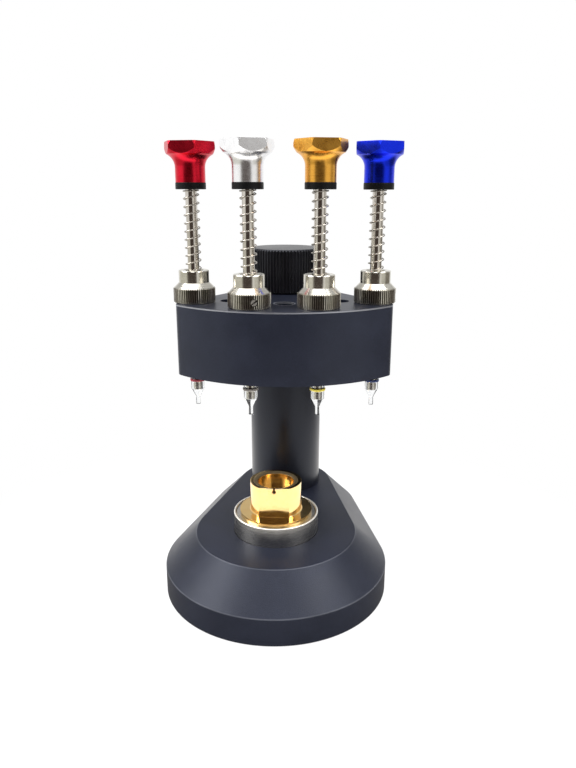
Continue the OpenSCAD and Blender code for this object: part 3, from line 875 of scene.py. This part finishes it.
NUT_R, NUT_BAND_H, NUT_TEETH, NUT_TOOTH, NUT_FOOT = 7.3, 5.0, 60, 0.35, 0.4
NUT_NECK_R, NUT_NECK_H, NUT_EDGE = 5.3, 4.2, 0.3
WELL_R, WELL_EDGE, BUSH_RISE = 3.2, 0.35, 6.2
GRUB_R, GRUB_INSET, GRUB_GAP = 1.27, 0.3, 0.2
GRUB_SLOT_W, GRUB_SLOT_DEPTH, GRUB_SLOT_TURN = 0.5, 1.0, 35
GRUB_ANGLES = (160, -70, 70, -3)
BUSH_TOP = HEAD_TOP + BUSH_RISE
NECK_Z = HEAD_TOP + NUT_BAND_H + NUT_R - NUT_NECK_R
NUT_TOP = NECK_Z + NUT_NECK_H
GRUB_Z = HEAD_TOP + NUT_BAND_H / 2
ROD_R = 2.0


def lying(tool, centre, height, turn):
    """Lays an upright tool down, so that its height runs outwards at an angle."""
    swung(tool, 90, "Y")
    swung(tool, turn)
    bmesh.ops.translate(tool, verts=tool.verts, vec=(*centre, height))
    return tool


grub_steel = plain_steel("grub_screw_steel", (0.42, 0.4, 0.37), 0.3)
grub_screws = bmesh.new()
groove_r = NUT_R - NUT_TOOTH
band_foot, band_top = HEAD_TOP + NUT_FOOT, HEAD_TOP + NUT_BAND_H
# The knurl's grooves are painted nearly black: painted shade in the grooves.
painted_groove_shade = (NUT_R - 0.05, HEAD_TOP + 0.3, band_top - 0.1, (0.07, 0.062, 0.05))
for place, axis in enumerate(plunger_axes):
    node, grub_angle = place + 1, GRUB_ANGLES[place]
    nickel = turned(
        f"nut_nickel_{node}",
        (0.74, 0.71, 0.63),
        axis,
        0.2,
        lines=7.0,
        depth=0.004,
        painted_band=painted_groove_shade,
    )
    bush_brass = turned(f"bush_brass_{node}", (0.72, 0.52, 0.24), axis, 0.25)
    levels = [
        even(NUT_R - NUT_FOOT, HEAD_TOP),
        (NUT_R, groove_r, band_foot, band_foot - NUT_TOOTH),
        (NUT_R, groove_r, band_top, band_top + NUT_TOOTH),
        even(NUT_NECK_R, NECK_Z),
        even(NUT_NECK_R, NUT_TOP - NUT_EDGE),
        even(NUT_NECK_R - NUT_EDGE * 0.3, NUT_TOP - NUT_EDGE * 0.3),
        even(NUT_NECK_R - NUT_EDGE, NUT_TOP),
        even(WELL_R + WELL_EDGE, NUT_TOP),
        even(WELL_R, NUT_TOP - WELL_EDGE),
        even(WELL_R, BUSH_TOP),
        even(BUSH_R + SEAT_FIT, BUSH_TOP),
        even(BUSH_R + SEAT_FIT, HEAD_TOP),
    ]
    bm = grown(levels, NUT_TEETH, axis, turn=grub_angle, hollow=True)
    hole = rod_tool((0, 0), GRUB_R, 0, NUT_R + OVER, sides=40)
    bm = carved(bm, lying(hole, axis, GRUB_Z, grub_angle))
    finished(
        f"stop_nut_{node}_knurled", bm, nickel, "head_unit", [f"stop_nut_{node}"], sharp=20
    )
    bore_r = ROD_R + RUN_FIT
    wall = [(bore_r, HEAD_Z), (BUSH_R, HEAD_Z), (BUSH_R, BUSH_TOP), (bore_r, BUSH_TOP)]
    bm = spun(wall, axis, steps=64)
    finished(
        f"guide_bush_{node}_turned",
        bm,
        bush_brass,
        "head_unit",
        [f"guide_bush_{node}"],
        edge=0.15,
    )
    screw_end = NUT_R - GRUB_INSET
    screw = rod_tool((0, 0), GRUB_R - GRUB_GAP, BUSH_R + SEAT_FIT, screw_end, sides=40)
    slot = box_tool(
        (-GRUB_SLOT_W / 2, -GRUB_R - OVER, screw_end - GRUB_SLOT_DEPTH),
        (GRUB_SLOT_W / 2, GRUB_R + OVER, screw_end + OVER),
        turn=GRUB_SLOT_TURN,
    )
    screw = carved(screw, slot)
    lying(screw, axis, GRUB_Z, grub_angle)
    part = bpy.data.meshes.new("grub")
    screw.to_mesh(part)
    screw.free()
    grub_screws.from_mesh(part)
    bpy.data.meshes.remove(part)
finished(
    "grub_screws_slotted",
    grub_screws,
    grub_steel,
    "head_unit",
    ["nut_grub_screws"],
    edge=0.08,
)


# The return springs. Bare spring wire wound to the right, with its ends closed, standing on
# the bushes inside the nuts and pressing up under the bumper collars.

WIRE_R, COIL_R = 0.225, 2.6
TRAVEL, SPARE_GAP = 24.0, 3.0
COLLAR_Z = NUT_TOP + TRAVEL + SPARE_GAP
OPEN_TURNS, END_TURNS, END_RISE = 11.2, 0.8, 0.45
WIRE_STEPS, WIRE_SIDES = 28, 10
SPRING_STARTS = (150, 102, 222, 83)
plunger_names = ("red", "silver", "gold", "blue")

wire_steel, wire = fresh_material("spring_wire")
drawn = wire.noise(wire.place(), 1.6, detail=3.0)
wire.surface(
    Base_Color=wire.blend(drawn, (0.36, 0.33, 0.29), (0.58, 0.55, 0.5)),
    Metallic=1.0,
    Roughness=drawn * 0.15 + 0.2,
    Normal=wire.bump(drawn, 0.004),
)
for place, axis in enumerate(plunger_axes):
    bm = bmesh.new()
    start = SPRING_STARTS[place]
    low, high = BUSH_TOP + WIRE_R, COLLAR_Z - WIRE_R
    upright = Matrix.Rotation(math.pi / 2, 4, "X")
    spot = Vector((*axis, low)) + COIL_R * heading(start)
    bmesh.ops.create_circle(bm, segments=WIRE_SIDES, radius=WIRE_R, matrix=upright)
    swung(bm, start)
    bmesh.ops.translate(bm, verts=bm.verts, vec=spot)
    end = bm.verts[:] + bm.edges[:]
    caps = [bm.edges[:]]
    open_rise = high - low - 2 * END_RISE
    for turns, rise in ((END_TURNS, END_RISE), (OPEN_TURNS, open_rise), (END_TURNS, END_RISE)):
        steps = round(turns * WIRE_STEPS)
        end = bmesh.ops.spin(
            bm,
            geom=end,
            cent=(*axis, 0),
            axis=(0, 0, 1),
            dvec=(0, 0, rise / steps),
            angle=math.tau * turns,
            steps=steps,
        )["geom_last"]
    caps.append([part for part in end if isinstance(part, bmesh.types.BMEdge)])
    for cap in caps:
        bmesh.ops.contextual_create(bm, geom=cap)
    node = place + 1
    coil = finished(
        f"return_spring_{node}", bm, wire_steel, "head_unit", [f"spring_{node}"], sharp=60
    )
    foot = (axis[0] * MM, axis[1] * MM, BUSH_TOP * MM)
    1 - TRAVEL / (COLLAR_Z - BUSH_TOP)
    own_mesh(coil)


# The plungers. Each is a ground steel rod with a black bumper collar and an anodised knob on
# top, and a shoulder, a clear plastic tip and a marker ring in its colour below.

COLLAR_T, COLLAR_R = 2.2, 5.15
KNOB_Z = COLLAR_Z + COLLAR_T
KNOB_NECK_R, KNOB_NECK_H, FLARE_R, FLARE_ANGLE = 5.05, 4.9, 4.5, 66.0
ACROSS_FLATS, HEX_H, HEX_CUT = 15.5, 3.6, 1.25
UNDER_SLOPE, CUT_SLOPE, FLARE_STEPS = 1.36, 3.5, 14
CORNER_REACH = ACROSS_FLATS / 2 / math.cos(math.radians(30))
KNOB_TOP = KNOB_Z + KNOB_NECK_H + FLARE_R + HEX_H
KNOB_GRIP = 8.5
HEX_ANGLES = (52, 21, 14, 27)
SHOULDER_H, SHOULDER_R, SHOULDER_GAP, SHOULDER_TO_TIP = 1.5, 2.4, 0.1, 11.2
SHOULDER_Z = HEAD_Z - SHOULDER_GAP - SHOULDER_H
PEG_R, PEG_H = 1.4, 5.2
TIP_END_Z = SHOULDER_Z - SHOULDER_TO_TIP
TIP_END_R, TIP_END_H, TIP_CONE_H, TIP_R = 0.8, 3.0, 3.2, 2.4
MARKER_R, MARKER_H, MARKER_DROP, MARKER_GROOVE = 2.7, 0.9, 1.4, 0.4
MARKER_TOP = SHOULDER_Z - MARKER_DROP
knob_colours = ((0.72, 0.016, 0.04), (0.93, 0.93, 0.94), (0.90, 0.47, 0.08), (0.012, 0.035, 0.78))
knob_shades = ((0.62, 0.012, 0.03), (0.87, 0.87, 0.88), (0.80, 0.38, 0.055), (0.009, 0.025, 0.64))
marker_colours = ((0.26, 0.012, 0.03), (0.19, 0.17, 0.15), (0.68, 0.55, 0.05), (0.013, 0.03, 0.12))

bumper_plastic, bumper = fresh_material("bumper_plastic")
mottle = bumper.noise(bumper.place(), 1.8, detail=3.0)
bumper.surface(
    Base_Color=bumper.blend(mottle, (0.001, 0.001, 0.0012), (0.0028, 0.003, 0.0033)),
    Roughness=mottle * 0.15 + 0.38,
    IOR=1.25,
    Normal=bumper.bump(mottle, 0.02),
)

clear_plastic, clear = fresh_material("clear_tip_plastic")
haze = clear.noise(clear.place(), 0.9, detail=2.0)
clear.surface(
    Base_Color=clear.blend(haze, (0.93, 0.95, 0.96), white),
    Roughness=haze * 0.05 + 0.02,
    IOR=1.49,
    Transmission_Weight=1.0,
    Normal=clear.bump(haze, 0.01),
)

for place, axis in enumerate(plunger_axes):
    node, colour = place + 1, plunger_names[place]
    body = f"plunger_{colour}"
    rod_steel = turned(f"ground_rod_{node}", (0.70, 0.66, 0.6), axis, 0.14, lines=8.0, depth=0.002)
    rod_top = KNOB_Z + KNOB_GRIP
    bm = spun(
        [
            (0, SHOULDER_Z - PEG_H),
            (PEG_R, SHOULDER_Z - PEG_H),
            (PEG_R, SHOULDER_Z),
            (SHOULDER_R, SHOULDER_Z),
            (SHOULDER_R, SHOULDER_Z + SHOULDER_H),
            (ROD_R, SHOULDER_Z + SHOULDER_H),
            (ROD_R, rod_top),
            (0, rod_top),
        ],
        axis,
        steps=64,
    )
    finished(f"plunger_{node}_rod", bm, rod_steel, body, [f"plunger_rod_{node}"], edge=0.12)
    bm = spun(
        [
            (ROD_R + SEAT_FIT, COLLAR_Z),
            (COLLAR_R, COLLAR_Z),
            (COLLAR_R, COLLAR_Z + COLLAR_T),
            (ROD_R + SEAT_FIT, COLLAR_Z + COLLAR_T),
        ],
        axis,
        steps=96,
    )
    finished(
        f"bumper_{node}", bm, bumper_plastic, body, [f"bumper_collar_{node}"], edge=0.2
    )
    paint = turned(
        f"anodised_{colour}",
        knob_colours[place],
        axis,
        0.29,
        lines=9.0,
        depth=0.0005,
        tint=knob_shades[place],
    )
    flare = [
        (
            KNOB_NECK_R + FLARE_R * (1 - math.cos(a)),
            KNOB_Z + KNOB_NECK_H + FLARE_R * math.sin(a),
        )
        for a in (math.radians(FLARE_ANGLE * step / FLARE_STEPS) for step in range(FLARE_STEPS + 1))
    ]
    flare_r, flare_z = flare[-1]
    top_r = CORNER_REACH - HEX_CUT / CUT_SLOPE
    meet_r = KNOB_TOP - flare_z + CUT_SLOPE * top_r + UNDER_SLOPE * flare_r
    meet_r /= UNDER_SLOPE + CUT_SLOPE
    bm = spun(
        [
            (ROD_R + SEAT_FIT, KNOB_Z),
            (KNOB_NECK_R, KNOB_Z),
            *flare,
            (meet_r, flare_z + UNDER_SLOPE * (meet_r - flare_r)),
            (top_r, KNOB_TOP),
            (0, KNOB_TOP),
            (0, KNOB_Z + KNOB_GRIP),
            (ROD_R + SEAT_FIT, KNOB_Z + KNOB_GRIP),
        ],
        axis,
        steps=120,
    )
    hexagon = rod_tool((0, 0), CORNER_REACH, KNOB_Z - OVER, KNOB_TOP + OVER, sides=6)
    corner = max(hexagon.verts, key=lambda vertex: vertex.co.x).co
    swung(hexagon, HEX_ANGLES[place] - math.degrees(math.atan2(corner.y, corner.x)))
    bmesh.ops.translate(hexagon, verts=hexagon.verts, vec=(*axis, 0))
    bm = carved(bm, hexagon, operation="INTERSECT")
    finished(
        f"knob_{colour}", bm, paint, body, [f"push_knob_{colour}"], edge=0.14, sharp=22
    )
    bore_end = SHOULDER_Z - PEG_H - WELL_FIT
    bm = spun(
        [
            (0, TIP_END_Z),
            (TIP_END_R, TIP_END_Z),
            (TIP_END_R, TIP_END_Z + TIP_END_H),
            (TIP_R, TIP_END_Z + TIP_END_H + TIP_CONE_H),
            (TIP_R, MARKER_TOP - MARKER_H - SEAT_FIT),
            (TIP_R - MARKER_GROOVE, MARKER_TOP - MARKER_H - SEAT_FIT),
            (TIP_R - MARKER_GROOVE, MARKER_TOP + SEAT_FIT),
            (TIP_R, MARKER_TOP + SEAT_FIT),
            (TIP_R, SHOULDER_Z),
            (PEG_R + SEAT_FIT, SHOULDER_Z),
            (PEG_R + SEAT_FIT, bore_end),
            (0, bore_end),
        ],
        axis,
        steps=48,
    )
    finished(f"clear_tip_{node}", bm, clear_plastic, body, [f"tip_{node}"], edge=0.12)
    inner = TIP_R - MARKER_GROOVE + SEAT_FIT
    band, dye = fresh_material(f"marker_band_{node}")
    wear_and_painted_highlight = dye.noise(dye.place(), 1.2, detail=3.0)
    marker_colour = marker_colours[place]
    dye.surface(
        Base_Color=dye.blend(wear_and_painted_highlight, [part * 0.75 for part in marker_colour], marker_colour),
        Roughness=wear_and_painted_highlight * 0.2 + 0.35,
        Normal=dye.bump(wear_and_painted_highlight, 0.02),
    )
    bm = spun(
        [
            (inner, MARKER_TOP - MARKER_H),
            (MARKER_R, MARKER_TOP - MARKER_H),
            (MARKER_R, MARKER_TOP),
            (inner, MARKER_TOP),
        ],
        axis,
        steps=48,
    )
    finished(
        f"marker_{node}_band",
        bm,
        band,
        body,
        [f"marker_ring_{node}"],
        edge=0.25,
        bevels=3,
    )
